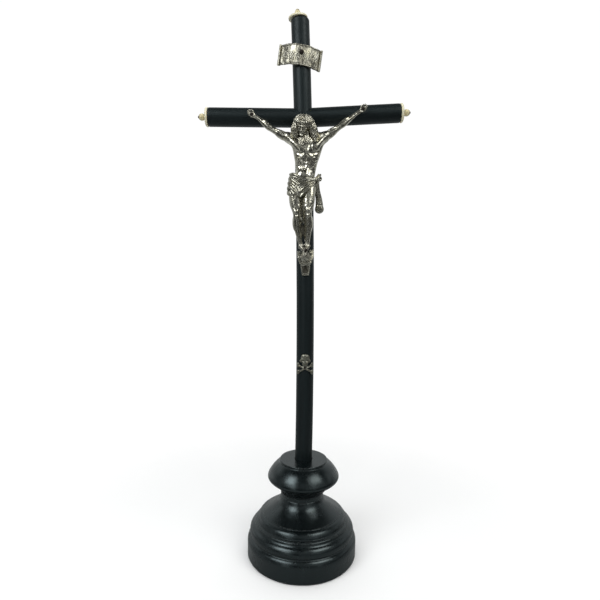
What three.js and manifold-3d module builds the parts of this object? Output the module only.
// A standing altar cross: a round ebonised upright and two arms on a turned foot and knop,
// bone end caps with finials, a cast white-metal corpus on a footrest, a curved scroll that
// swivels on its one nail, and a small skull-and-bones emblem.
// Millimetres. Z is up, the figure faces -Y, and the origin is the middle of the foot's
// underside, on the table.
import * as THREE from "three";
import { mergeVertices } from "three/addons/utils/BufferGeometryUtils.js";
import { ConvexGeometry } from "three/addons/geometries/ConvexGeometry.js";
import Module from "manifold-3d";

// ---------------------------------------------------------------- driving dimensions
const GAP = 0.3; // clearance between pieces that touch or fit in each other

const FOOT_R = 50; // radius of the foot's drum
const FELT_R = 46.5;
const FELT_T = 1.7;
const FOOT_Z = 0.5; // the wooden rim stands this far above the table, on the felt
const FOOT_TOP = 59.4; // top of the foot's neck, where the knop sits
const SPIGOT_R = 12;
const SPIGOT_TOP = 68;
const KNOP_X = 1.0; // the knop stands slightly off the foot's axis
const KNOP_TOP = 89.5;
const SOCKET_Z = 80; // floor of the upright's socket in the knop
const TENON_R = 5;
const TENON_Z = 14.3; // lower end of the tenon, inside the foot

const SHAFT_R = 7.9;
const SHAFT_TOP = 480;
const BOW = [-0.646, 12.2, -17.61]; // the upright's slight bow: x = b0 + b1 t + b2 t^2, t = z / 480

const BAR_R = 8.09;
const BAR_Z = 397.3; // height of the crossing
const LEFT_LENGTH = 83.0; // from the crossing to the end of each arm
const RIGHT_LENGTH = 85.2;
const RIGHT_RISE = 0.0607; // the right arm rises by this angle, in radians
const DOWEL_R = 3;
const DOWEL_REACH = 20; // half the dowel's length

const CAP_R = 8.2;
const CAP_T = 2.6;
const FINIAL_R = 3.03;
const PIN_R = 1.1; // the finial's pin through the cap

const SCROLL = { x: -5.9, y: -9.6, z: 447.2, tilt: 0.134, bend: 21.8, half: 19.6, rise: 8.6, thick: 0.9 };
const SCROLL_NAIL = [-4.43, 449.2];

const NAIL_R = 0.7;

// ---------------------------------------------------------------- solids from three.js geometry
const wasm = await Module();
wasm.setup();

// One closed surface with its shared vertices merged and no collapsed triangles.
function tidy(geometry) {
  const g = geometry.index ? geometry.toNonIndexed() : geometry.clone();
  for (const key of Object.keys(g.attributes)) if (key !== "position") g.deleteAttribute(key);
  const merged = mergeVertices(g, 1e-4);
  const index = merged.index.array;
  const kept = [];
  for (let i = 0; i < index.length; i += 3) {
    const [a, b, c] = [index[i], index[i + 1], index[i + 2]];
    if (a !== b && b !== c && c !== a) kept.push(a, b, c);
  }
  merged.setIndex(kept);
  return merged;
}

function solid(geometry) {
  const g = tidy(geometry);
  const triVerts = new Uint32Array(g.index.array);
  const made = new wasm.Manifold(
    new wasm.Mesh({ numProp: 3, vertProperties: new Float32Array(g.attributes.position.array), triVerts }),
  );
  if (made.volume() >= 0) return made;
  for (let i = 0; i < triVerts.length; i += 3) [triVerts[i + 1], triVerts[i + 2]] = [triVerts[i + 2], triVerts[i + 1]];
  return new wasm.Manifold(
    new wasm.Mesh({ numProp: 3, vertProperties: new Float32Array(g.attributes.position.array), triVerts }),
  );
}

const join = (...parts) => parts.reduce((a, b) => a.add(b));
const cut = (body, ...tools) => tools.reduce((a, b) => a.subtract(b), body);

// The biggest piece of a cut solid: a cut can leave a loose sliver behind.
function largest(body) {
  return body.decompose().reduce((a, b) => (b.volume() > a.volume() ? b : a));
}

function geometryOf(body) {
  const m = body.getMesh();
  const n = m.numProp;
  const v = new Float32Array(m.numVert * 3);
  for (let i = 0; i < m.numVert; i++) v.set(m.vertProperties.subarray(i * n, i * n + 3), i * 3);
  const g = new THREE.BufferGeometry();
  g.setAttribute("position", new THREE.BufferAttribute(v, 3));
  g.setIndex(Array.from(m.triVerts));
  const flat = g.toNonIndexed();
  flat.computeVertexNormals();
  return flat;
}

// A turned piece: the profile is a list of [radius, height], and its axis becomes +Z.
function turned(profile, sides) {
  return new THREE.LatheGeometry(profile.map(([r, z]) => new THREE.Vector2(r, z)), sides).rotateX(Math.PI / 2);
}

// A turned piece stood at `at`, with its axis along `direction`.
function turnedAlong(profile, sides, at, direction) {
  const g = turned(profile, sides);
  g.applyQuaternion(new THREE.Quaternion().setFromUnitVectors(new THREE.Vector3(0, 0, 1), new THREE.Vector3(...direction).normalize()));
  return g.translate(...at);
}

const rod = (r, from, to, sides, at, direction) => solid(turnedAlong([[0, from], [r, from], [r, to], [0, to]], sides, at, direction));

// A closed skin over rings of points; each end closes on its own middle point.
function skin(rings) {
  const n = rings[0].length;
  const positions = [];
  const middle = (ring) => ring.reduce((a, p) => a.add(p), new THREE.Vector3()).divideScalar(ring.length);
  for (const ring of rings) for (const p of ring) positions.push(p.x, p.y, p.z);
  const first = positions.length / 3;
  const a = middle(rings[0]);
  const b = middle(rings.at(-1));
  positions.push(a.x, a.y, a.z, b.x, b.y, b.z);
  const index = [];
  for (let k = 0; k + 1 < rings.length; k++)
    for (let i = 0; i < n; i++) {
      const j = (i + 1) % n;
      const [p, q, r, s] = [k * n + i, k * n + j, (k + 1) * n + j, (k + 1) * n + i];
      index.push(p, q, r, p, r, s);
    }
  const last = (rings.length - 1) * n;
  for (let i = 0; i < n; i++) {
    const j = (i + 1) % n;
    index.push(first, j, i, first + 1, last + i, last + j);
  }
  const g = new THREE.BufferGeometry();
  g.setAttribute("position", new THREE.BufferAttribute(new Float32Array(positions), 3));
  g.setIndex(index);
  return g;
}

// A limb of oval sections square to a path. A station is [x, y, z, half width, half depth];
// `grow` adds clearance all round, and a flat end stays flat.
function limb(stations, sides, { grow = 0, flatStart = false, flatEnd = false } = {}) {
  const at = stations.map((s) => new THREE.Vector3(s[0], s[1], s[2]));
  const rings = [];
  const ring = (centre, tangent, across, deep) => {
    const u = new THREE.Vector3().crossVectors(tangent, new THREE.Vector3(0, -1, 0)).normalize();
    const v = new THREE.Vector3().crossVectors(u, tangent).normalize();
    const points = [];
    for (let i = 0; i < sides; i++) {
      const a = (2 * Math.PI * i) / sides;
      points.push(centre.clone().addScaledVector(u, across * Math.cos(a)).addScaledVector(v, deep * Math.sin(a)));
    }
    rings.push(points);
  };
  const tangents = at.map((p, i) =>
    new THREE.Vector3().subVectors(at[Math.min(i + 1, at.length - 1)], at[Math.max(i - 1, 0)]).normalize(),
  );
  const round = (i, sign) => {
    const [, , , across, deep] = stations[i];
    const reach = Math.min(across, deep) + grow;
    return [0.86, 0.5].map((k) => ({ k: Math.sqrt(1 - k * k), s: k, across, deep, reach, sign }));
  };
  if (!flatStart) {
    for (const e of round(0, -1))
      ring(at[0].clone().addScaledVector(tangents[0], -e.reach * e.s), tangents[0], (e.across + grow) * e.k, (e.deep + grow) * e.k);
  }
  stations.forEach((s, i) => {
    const centre = at[i].clone();
    if (grow && i === 0 && flatStart) centre.addScaledVector(tangents[0], -grow);
    if (grow && i === stations.length - 1 && flatEnd) centre.addScaledVector(tangents[i], grow);
    ring(centre, tangents[i], s[3] + grow, s[4] + grow);
  });
  if (!flatEnd) {
    const i = stations.length - 1;
    for (const e of round(i, 1).reverse())
      ring(at[i].clone().addScaledVector(tangents[i], e.reach * e.s), tangents[i], (e.across + grow) * e.k, (e.deep + grow) * e.k);
  }
  return solid(skin(rings));
}

const oval = (x, y, z, rx, ry, rz, turn = 0) =>
  solid(new THREE.SphereGeometry(1, 16, 10).scale(rx, ry, rz).rotateY(turn).translate(x, y, z));

const hull = (points) => solid(new ConvexGeometry(points.map((p) => new THREE.Vector3(...p))));

// ---------------------------------------------------------------- the bowed upright
const bowX = (z) => {
  const t = z / SHAFT_TOP;
  return BOW[0] + BOW[1] * t + BOW[2] * t * t;
};
const bowSlope = (z) => (BOW[1] + 2 * BOW[2] * (z / SHAFT_TOP)) / SHAFT_TOP;

// A round bar along the bow between two heights.
function bowed(radii, sides) {
  return solid(
    skin(
      radii.map(([z, r]) => {
        const x = bowX(z);
        const slope = bowSlope(z);
        return Array.from({ length: sides }, (_, i) => {
          const a = (2 * Math.PI * i) / sides;
          return new THREE.Vector3(x + r * Math.cos(a), r * Math.sin(a), z - slope * r * Math.cos(a));
        });
      }),
    ),
  );
}
const heights = (from, to, steps) => Array.from({ length: steps + 1 }, (_, i) => from + ((to - from) * i) / steps);
const SIDES = 24;
const uprightBar = bowed([[TENON_Z, TENON_R - 0.6], [TENON_Z + 1, TENON_R], ...heights(34, SOCKET_Z + GAP - 0.02, 2).map((z) => [z, TENON_R]), [SOCKET_Z + GAP, SHAFT_R], ...heights(110, SHAFT_TOP - 1.6, 11).map((z) => [z, SHAFT_R]), [SHAFT_TOP - 0.5, SHAFT_R - 0.35], [SHAFT_TOP, SHAFT_R - 1.0]], SIDES);
const tenonHole = bowed([[TENON_Z - GAP, TENON_R + GAP], [34, TENON_R + GAP], [SOCKET_Z + 4, TENON_R + GAP]], SIDES);
const uprightHole = bowed([[SOCKET_Z, SHAFT_R + GAP], [KNOP_TOP + 3, SHAFT_R + GAP]], SIDES);
const uprightSpace = bowed([[200, SHAFT_R + GAP], ...heights(230, 470, 10).map((z) => [z, SHAFT_R + GAP])], SIDES);
const crossingX = bowX(BAR_Z);

// ---------------------------------------------------------------- nails and pins
// A nail driven along +Y: `face` is where the underside of its head sits.
function nail(x, face, z, headR, headT, length, grow = 0) {
  const profile = [
    [0, -length - grow],
    [0.12 + grow, -length - grow],
    [NAIL_R + grow, -length + 2.2],
    [NAIL_R + grow, grow ? -grow : 0],
    [headR + grow, grow ? -grow : 0],
    [headR + grow, headT * 0.45 + (grow ? grow : 0)],
    [headR * 0.72 + grow, headT * 0.85 + grow],
    [0, headT + grow],
  ];
  return solid(turnedAlong(profile, 10, [x, face, z], [0, -1, 0]));
}

// Each fixing: [x, y under the head, z, head radius, head height, length].
const LEFT_HAND_NAIL = [-46.2, -12.5, 396.3, 1.5, 0.9, 10];
const RIGHT_HAND_NAIL = [48.4, -12.5, 401.9, 1.5, 0.9, 10];
const FEET_NAIL = [0.9, -24.3, 281.4, 1.5, 0.9, 21.5];
const TITULUS_NAIL = [SCROLL_NAIL[0], SCROLL.y - 0.35, SCROLL_NAIL[1], 1.9, 1.0, 8.2];
const EMBLEM_NAIL = [bowX(177.2) - 0.3, -10.4, 177.2, 1.0, 0.6, 7.2];

// ---------------------------------------------------------------- foot, knop and what holds them
const footProfile = [
  [0, FOOT_Z + 1.5],
  [FELT_R + GAP, FOOT_Z + 1.5],
  [FELT_R + GAP, FOOT_Z],
  [50.0, FOOT_Z],
  [50.35, 1.0],
  [50.5, 14.6],
  [50.3, 16.5],
  [49.35, 18.6],
  [47.3, 20.2],
  [48.05, 22.8],
  [47.3, 25.6],
  [45.6, 28.6],
  [44.0, 31.2],
  [42.3, 32.6],
  [42.3, 33.2],
  [40.9, 33.75],
  [40.4, 36.0],
  [38.9, 38.1],
  [35.8, 39.8],
  [35.75, 40.35],
  [34.7, 40.85],
  [30.1, 43.9],
  [26.1, 46.9],
  [22.7, 49.9],
  [20.55, 52.9],
  [19.3, 55.7],
  [19.65, 56.4],
  [19.6, FOOT_TOP],
  [SPIGOT_R, FOOT_TOP],
  [SPIGOT_R, SPIGOT_TOP - 0.8],
  [SPIGOT_R - 0.8, SPIGOT_TOP],
  [0, SPIGOT_TOP],
];
const WEB_UNDER = 8; // underside of the web that the screw pulls on
const WEB_TOP = 14;
const footScrewX = bowX(TENON_Z) - 0.1;
const foot = cut(
  solid(turned(footProfile, 44)),
  tenonHole,
  rod(8.4, 1, WEB_UNDER, 24, [footScrewX, 0, 0], [0, 0, 1]),
  rod(2.5, WEB_UNDER - 1, WEB_TOP + 2, 16, [footScrewX, 0, 0], [0, 0, 1]),
);

const knopProfile = [
  [0, FOOT_TOP + GAP],
  [19.7, FOOT_TOP + GAP],
  [20.2, 61.0],
  [22.7, 63.5],
  [27.5, 68.0],
  [31.2, 70.9],
  [32.9, 74.0],
  [31.75, 77.1],
  [29.9, 80.1],
  [27.5, 83.1],
  [24.4, 86.0],
  [22.4, 87.3],
  [22.3, 87.7],
  [21.8, 87.9],
  [21.95, 89.0],
  [21.4, KNOP_TOP],
  [0, KNOP_TOP],
];
const knop = cut(
  solid(turned(knopProfile, 36).translate(KNOP_X, 0, 0)),
  rod(SPIGOT_R + GAP + KNOP_X, FOOT_TOP - 2, SPIGOT_TOP + GAP, 28, [0, 0, 0], [0, 0, 1]),
  tenonHole,
  uprightHole,
);

const felt = solid(turned([[0, 0], [FELT_R - 0.4, 0], [FELT_R, 0.4], [FELT_R, FELT_T], [0, FELT_T]], 40));

const screwProfile = [
  [0, 3.5],
  [3.6, 3.5],
  [4.4, 4.3],
  [4.4, 5.2],
  [2.1, 6.2],
  [2.1, 30],
  [0.3, 34],
  [0, 34],
];
const screwHole = rod(2.4, TENON_Z - 1, 34.6, 16, [footScrewX, 0, 0], [0, 0, 1]);
const slot = solid(new THREE.BoxGeometry(10, 1, 1.6).translate(0, 0, 3.5));
const footScrew = cut(solid(turned(screwProfile, 20)), slot).translate([footScrewX, 0, 0]);
const washer = solid(turned([[2.5, 6.4], [7.4, 6.4], [7.4, 7.6], [2.5, 7.6], [2.5, 6.4]], 24).translate(footScrewX, 0, 0));

// ---------------------------------------------------------------- arms of the cross, with their dowel
const dowelProfile = [[0, -DOWEL_REACH], [DOWEL_R - 0.6, -DOWEL_REACH], [DOWEL_R, -DOWEL_REACH + 0.8], [DOWEL_R, DOWEL_REACH - 0.8], [DOWEL_R - 0.6, DOWEL_REACH], [0, DOWEL_REACH]];
const crossing = [crossingX, 0, BAR_Z];
const dowel = solid(turnedAlong(dowelProfile, 16, crossing, [1, 0, 0]));
const dowelHole = rod(DOWEL_R + GAP, -DOWEL_REACH - GAP, DOWEL_REACH + GAP, 16, crossing, [1, 0, 0]);

const leftWay = [-1, 0, 0];
const rightWay = [Math.cos(RIGHT_RISE), 0, Math.sin(RIGHT_RISE)];
const barProfile = (length) => [[0, 0], [BAR_R, 0], [BAR_R, length - 0.7], [BAR_R - 0.6, length], [0, length]];
const along = (way, d) => [crossing[0] + way[0] * d, crossing[1] + way[1] * d, crossing[2] + way[2] * d];
const pinHole = (at, way, depth) => rod(PIN_R + GAP, -depth, 1, 14, at, way);

const leftEnd = along(leftWay, LEFT_LENGTH);
const rightEnd = along(rightWay, RIGHT_LENGTH);
const bar = (length, way, end, hand) =>
  largest(
    cut(
      solid(turnedAlong(barProfile(length), SIDES, crossing, way)),
      uprightSpace,
      dowelHole,
      pinHole(end, way, 7.6),
      nail(...hand, GAP),
    ),
  );
const leftBar = bar(LEFT_LENGTH, leftWay, leftEnd, LEFT_HAND_NAIL);
const rightBar = bar(RIGHT_LENGTH, rightWay, rightEnd, RIGHT_HAND_NAIL);

// ---------------------------------------------------------------- bone caps and finials
const topWay = [Math.sin(-0.085), 0, Math.cos(-0.085)]; // the top cap leans to the left
const topEnd = [bowX(SHAFT_TOP) - 1.7, 0, SHAFT_TOP + 0.3];
const capProfile = [
  [PIN_R + GAP, GAP],
  [CAP_R - 0.4, GAP],
  [CAP_R, 0.8],
  [CAP_R - 0.1, 1.5],
  [CAP_R - 0.55, 2.05],
  [CAP_R - 1.4, 2.45],
  [CAP_R - 2.5, 2.7],
  [CAP_R - 3.7, CAP_T + 0.22],
  [3.3, CAP_T + GAP],
  [PIN_R + GAP, CAP_T + GAP],
  [PIN_R + GAP, GAP],
];
const finialProfile = [
  [0, -7],
  [PIN_R - 0.3, -7],
  [PIN_R, -6.4],
  [PIN_R, CAP_T + 2 * GAP],
  [1.5, CAP_T + 2 * GAP],
  [1.6, CAP_T + 0.9],
  [2.35, CAP_T + 1.3],
  [2.85, CAP_T + 2.0],
  [FINIAL_R, CAP_T + 2.9],
  [FINIAL_R - 0.12, CAP_T + 3.9],
  [2.45, CAP_T + 4.8],
  [1.85, CAP_T + 5.5],
  [1.05, CAP_T + 6.1],
  [0.8, CAP_T + 6.4],
  [0, CAP_T + 6.65],
];
const cap = (at, way) => solid(turnedAlong(capProfile, 22, at, way));
const finial = (at, way, squat = 1, slim = 1) =>
  solid(
    turnedAlong(
      finialProfile.map(([r, z]) => (z > CAP_T + 1 ? [r * slim, CAP_T + 0.9 + (z - CAP_T - 0.9) * squat] : [r, z])),
      12,
      at,
      way,
    ),
  );

const upright = cut(
  uprightBar,
  dowelHole,
  screwHole,
  rod(PIN_R + GAP + 0.1, -7.8, 2, 14, topEnd, topWay),
  nail(...FEET_NAIL, GAP),
  nail(...TITULUS_NAIL, GAP),
  nail(...EMBLEM_NAIL, GAP),
);

// ---------------------------------------------------------------- corpus
const leftArmStations = [
  [-12.6, -15.2, 375.0, 4.2, 4.0],
  [-18.5, -14.6, 378.1, 3.6, 3.4],
  [-24.5, -13.8, 381.2, 3.2, 3.1],
  [-30.2, -13.1, 384.6, 3.2, 2.9],
  [-33.6, -12.6, 387.4, 2.9, 2.6],
  [-37.5, -11.9, 391.0, 2.3, 2.1],
  [-41.6, -11.3, 394.2, 1.9, 1.6],
  [-45.6, -10.7, 396.1, 2.7, 1.4],
  [-48.9, -10.9, 397.8, 2.2, 1.3],
];
const rightArmStations = [
  [14.0, -15.2, 376.2, 4.3, 4.0],
  [18.8, -14.6, 379.4, 3.8, 3.5],
  [24.2, -13.9, 383.4, 3.5, 3.2],
  [29.2, -13.2, 387.4, 3.4, 3.0],
  [33.6, -12.6, 390.8, 3.0, 2.7],
  [38.2, -11.9, 394.3, 2.3, 2.1],
  [42.6, -11.3, 397.7, 1.9, 1.6],
  [47.2, -10.7, 401.2, 2.6, 1.4],
  [50.6, -10.9, 404.2, 2.1, 1.3],
];
const armSolid = (stations, grow) => limb(stations, 12, { grow, flatStart: true });

const torso = limb(
  [
    [-2.8, -15.6, 331, 9.8, 7.0],
    [-2.6, -15.8, 341, 11.6, 7.8],
    [-0.6, -15.4, 347.5, 9.3, 6.7],
    [0.2, -15.2, 352, 8.7, 6.3],
    [0.6, -15.6, 358, 9.8, 6.9],
    [1.4, -16.0, 365.5, 11.9, 7.6],
    [1.2, -15.8, 371.5, 12.6, 7.0],
    [0.6, -15.4, 376.2, 11.6, 5.4],
    [0.3, -15.6, 378.6, 7.0, 4.4],
  ],
  18,
);
const neck = limb([[0.5, -15.4, 374, 4.4, 4.2], [-1.2, -18, 382, 4.2, 4.2]], 14);
const head = join(
  oval(-2.6, -19.0, 385.9, 9.4, 7.8, 8.6, 0.08),
  oval(-3.0, -23.0, 383.6, 5.6, 5.0, 7.2, 0.12),
  limb([[-3.4, -25.0, 380.5, 3.6, 3.0], [-3.9, -25.0, 377.6, 2.2, 2.0]], 12),
);
const locks = join(
  limb([[-8.9, -18.2, 386, 2.8, 3.6], [-9.8, -17.6, 380.5, 2.2, 3.2], [-9.3, -18.2, 375.2, 1.6, 2.2]], 12),
  limb([[4.2, -18.6, 386, 2.8, 3.8], [6.6, -18.2, 380.5, 2.6, 3.4], [7.6, -19.4, 374.2, 1.8, 2.2]], 12),
);
const legs = join(
  limb(
    [
      [-8.4, -15.8, 335, 5.6, 6.0],
      [-9.2, -18.2, 326, 4.9, 5.0],
      [-8.6, -20.0, 319, 4.0, 4.2],
      [-7.4, -20.8, 312.5, 3.2, 3.6],
      [-6.9, -18.8, 305, 3.3, 3.8],
      [-6.2, -17.4, 297.5, 2.9, 3.2],
      [-4.2, -16.6, 290, 2.3, 2.5],
      [-2.9, -16.6, 284.5, 2.2, 2.3],
    ],
    12,
  ),
  limb(
    [
      [4.2, -15.8, 335, 5.6, 6.0],
      [3.0, -19.0, 326, 5.0, 5.2],
      [2.2, -21.2, 319, 4.4, 4.4],
      [2.2, -21.8, 313, 3.7, 3.8],
      [3.0, -19.8, 304.5, 3.8, 3.9],
      [2.7, -18.4, 297, 3.3, 3.3],
      [2.1, -17.8, 290, 2.5, 2.6],
      [2.0, -18.0, 285.5, 2.5, 2.5],
    ],
    12,
  ),
  limb([[2.0, -18.2, 284, 2.4, 2.4], [0.9, -20.8, 281.0, 2.6, 1.9], [-1.0, -23.8, 277.6, 2.5, 1.4], [-1.8, -25.0, 276.0, 2.2, 1.1]], 12),
  limb([[-2.9, -16.9, 284, 2.2, 2.2], [-1.0, -18.6, 280.8, 2.5, 1.8], [1.6, -20.6, 277.8, 2.5, 1.4], [3.2, -21.8, 276.2, 2.1, 1.1]], 12),
);
const cloth = join(
  limb(
    [
      [-2.4, -15.8, 345.0, 11.2, 7.6],
      [-2.8, -16.2, 341.0, 12.4, 8.4],
      [-3.0, -16.6, 335.5, 12.6, 8.8],
      [-4.8, -17.0, 330.5, 10.2, 8.4],
      [-6.4, -17.4, 327.6, 7.2, 7.2],
    ],
    18,
  ),
  limb([[-9.6, -19.5, 345.6, 2.2, 2.0], [-3.4, -23.2, 341.6, 2.0, 1.8], [4.5, -22.4, 341.0, 2.0, 1.8], [9.6, -19.2, 342.4, 2.4, 2.2]], 12),
  limb([[9.2, -18.6, 344.2, 2.6, 2.4], [10.2, -16.6, 340.0, 3.0, 2.8]], 12),
  limb([[9.4, -14.6, 339, 2.6, 2.4], [10.4, -13.4, 331, 2.6, 2.2], [11.9, -12.6, 323.5, 3.4, 2.2], [12.3, -12.3, 317.4, 3.8, 2.3]], 14),
);

// The footrest: a block that tapers down to a narrow wedge, with a sunk panel in the wedge.
const restHull = (grow) =>
  hull([
    [-6.3 - grow, -8, 281.5 + grow], [7.8 + grow, -8, 282.5 + grow],
    [-6.3 - grow, -15.8 - grow, 275.6 + grow], [7.8 + grow, -15.8 - grow, 277.4 + grow],
    [-3.9 - grow, -13.4 - grow, 269.3 - grow], [5.3 + grow, -13.4 - grow, 269.9 - grow],
    [-3.9 - grow, -5, 269.3 - grow], [5.3 + grow, -5, 269.9 - grow],
    [-6.3 - grow, -5, 276.5], [7.8 + grow, -5, 278],
  ]);
const wedge = hull([
  [-3.7, -4, 270.2], [5.1, -4, 270.8], [-3.7, -12.4, 270.2], [5.1, -12.4, 270.8],
  [-1.9, -4, 259.6], [3.7, -4, 259.7], [-1.9, -9.3, 259.6], [3.7, -9.3, 259.7],
]);
const panel = hull([
  [-2.3, -15, 268.4], [3.8, -15, 268.8], [-2.3, -11.0, 268.4], [3.8, -11.0, 268.8],
  [-0.9, -15, 261.0], [2.8, -15, 261.1], [-0.9, -8.9, 261.0], [2.8, -8.9, 261.1],
]);
const footrest = largest(cut(join(restHull(0), wedge), panel, uprightSpace, nail(...FEET_NAIL, GAP)));

const corpusBody = largest(
  cut(
    join(torso, neck, head, locks, legs, cloth),
    uprightSpace,
    restHull(GAP),
    armSolid(leftArmStations, GAP),
    armSolid(rightArmStations, GAP),
    nail(...FEET_NAIL, GAP),
  ),
);
const corpusLeftArm = cut(armSolid(leftArmStations, 0), nail(...LEFT_HAND_NAIL, GAP));
const corpusRightArm = cut(armSolid(rightArmStations, 0), nail(...RIGHT_HAND_NAIL, GAP));

// ---------------------------------------------------------------- scroll on its nail
function scrollGeometry() {
  const { bend, half, rise, thick } = SCROLL;
  const steps = 16;
  const at = (s, r) => [r * Math.sin(s / bend), bend - r * Math.cos(s / bend)];
  const front = [];
  const back = [];
  for (let i = 0; i <= steps; i++) {
    const s = -half + (2 * half * i) / steps;
    front.push(at(s, bend));
    back.push(at(s, bend - thick));
  }
  // Each end rolls forward into a small bead.
  const bead = (side) => {
    const points = [];
    for (let k = 1; k < 7; k++) {
      const a = (k / 7) * Math.PI;
      const r = bend + 0.35 + 0.95 * Math.cos(a);
      points.push(at(side * (half + 0.95 * Math.sin(a) + 0.15), r));
    }
    return points;
  };
  const outline = [...front, ...bead(1), ...back.reverse(), ...bead(-1).reverse()];
  const shape = new THREE.Shape(outline.map(([x, y]) => new THREE.Vector2(x, y)));
  const g = new THREE.ExtrudeGeometry(shape, { depth: 2 * rise, bevelEnabled: false, steps: 1 });
  g.translate(0, 0, -rise);
  g.rotateY(SCROLL.tilt);
  return g.translate(SCROLL.x, SCROLL.y, SCROLL.z);
}
const scroll = cut(solid(scrollGeometry()), nail(...TITULUS_NAIL, GAP));

// ---------------------------------------------------------------- skull and crossed bones
// Modelled flat as (across, out, up), then wrapped round the front of the upright.
function wrapped(parts) {
  const r = SHAFT_R + 0.35;
  return join(
    ...parts.map((body) =>
      body.warp((v) => {
        const [s, out, z] = v;
        const a = s / (r + 0.6);
        v[0] = bowX(z) + (r - out) * Math.sin(a);
        v[1] = -(r - out) * Math.cos(a);
      }),
    ),
  );
}
const bone = (x0, z0, x1, z1, lift) => {
  const p = (k, w, d) => [x0 + (x1 - x0) * k, -0.95 - lift, z0 + (z1 - z0) * k, w, d];
  return limb([p(0.0, 1.5, 0.8), p(0.1, 1.6, 0.85), p(0.2, 0.95, 0.7), p(0.35, 0.8, 0.65), p(0.5, 0.8, 0.65), p(0.65, 0.8, 0.65), p(0.8, 0.95, 0.7), p(0.9, 1.6, 0.85), p(1, 1.5, 0.8)], 10);
};
const emblem = cut(
  wrapped([
    bone(-6.6, 180.6, 6.6, 172.2, 0),
    bone(-6.6, 172.2, 6.6, 180.6, 0),
    limb([[0, -1.0, 177.2, 2.2, 0.95], [0, -1.2, 180.2, 3.0, 1.15], [0, -1.35, 182.6, 4.5, 1.35], [0, -1.4, 184.8, 4.2, 1.4], [0, -1.4, 186.6, 3.8, 1.4], [0, -1.2, 188.2, 2.6, 1.1]], 16),
  ]),
  bowed([[165, SHAFT_R + GAP], [180, SHAFT_R + GAP], [195, SHAFT_R + GAP]], SIDES),
  nail(...EMBLEM_NAIL, GAP),
);

// ---------------------------------------------------------------- the assembly
const material = (color, roughness, metalness) => new THREE.MeshStandardMaterial({ color, roughness, metalness });
const ebonised = material(0x23282a, 0.42, 0);
const bone_ = material(0xe1dcb4, 0.4, 0);
const boneDark = material(0xb9a36a, 0.4, 0);
const whiteMetal = material(0xb5b1a0, 0.3, 1);
const dullBrass = material(0x6f6c5a, 0.45, 1);
const iron = material(0x2a2624, 0.6, 1);
const steel = material(0x8c8e90, 0.4, 1);
const dowelWood = material(0x9b7a4e, 0.7, 0);
const feltCloth = material(0x1f3a2a, 0.95, 0);

const group = new THREE.Group();
const add = (name, body, look, parent = group) => {
  const mesh = new THREE.Mesh(geometryOf(body), look);
  mesh.name = name;
  parent.add(mesh);
};

const base = new THREE.Group();
add("felt_pad", felt, feltCloth, base);
add("foot", foot, ebonised, base);
add("knop", knop, ebonised, base);
add("foot_screw", footScrew, steel, base);
add("screw_washer", washer, steel, base);
group.add(base);

const cross = new THREE.Group();
add("shaft", upright, ebonised, cross);
add("left_arm", leftBar, ebonised, cross);
add("right_arm", rightBar, ebonised, cross);
add("arm_dowel", dowel, dowelWood, cross);
add("left_end_cap", cap(leftEnd, leftWay), bone_, cross);
add("right_end_cap", cap(rightEnd, rightWay), bone_, cross);
add("top_end_cap", cap(topEnd, topWay), bone_, cross);
add("left_finial", finial(leftEnd, leftWay), boneDark, cross);
add("right_finial", finial(rightEnd, rightWay), boneDark, cross);
add("top_finial", finial(topEnd, topWay, 0.82, 0.88), boneDark, cross);
group.add(cross);

const corpus = new THREE.Group();
add("corpus_body", corpusBody, whiteMetal, corpus);
add("corpus_left_arm", corpusLeftArm, whiteMetal, corpus);
add("corpus_right_arm", corpusRightArm, whiteMetal, corpus);
add("left_hand_nail", nail(...LEFT_HAND_NAIL), iron, corpus);
add("right_hand_nail", nail(...RIGHT_HAND_NAIL), iron, corpus);
add("feet_nail", nail(...FEET_NAIL), iron, corpus);
add("footrest", footrest, whiteMetal, corpus);
group.add(corpus);

const titulus = new THREE.Group();
add("titulus_scroll", scroll, whiteMetal, titulus);
group.add(titulus);
add("titulus_nail", nail(...TITULUS_NAIL), iron);

add("skull_emblem", emblem, dullBrass);
add("emblem_nail", nail(...EMBLEM_NAIL), iron);

export default group;
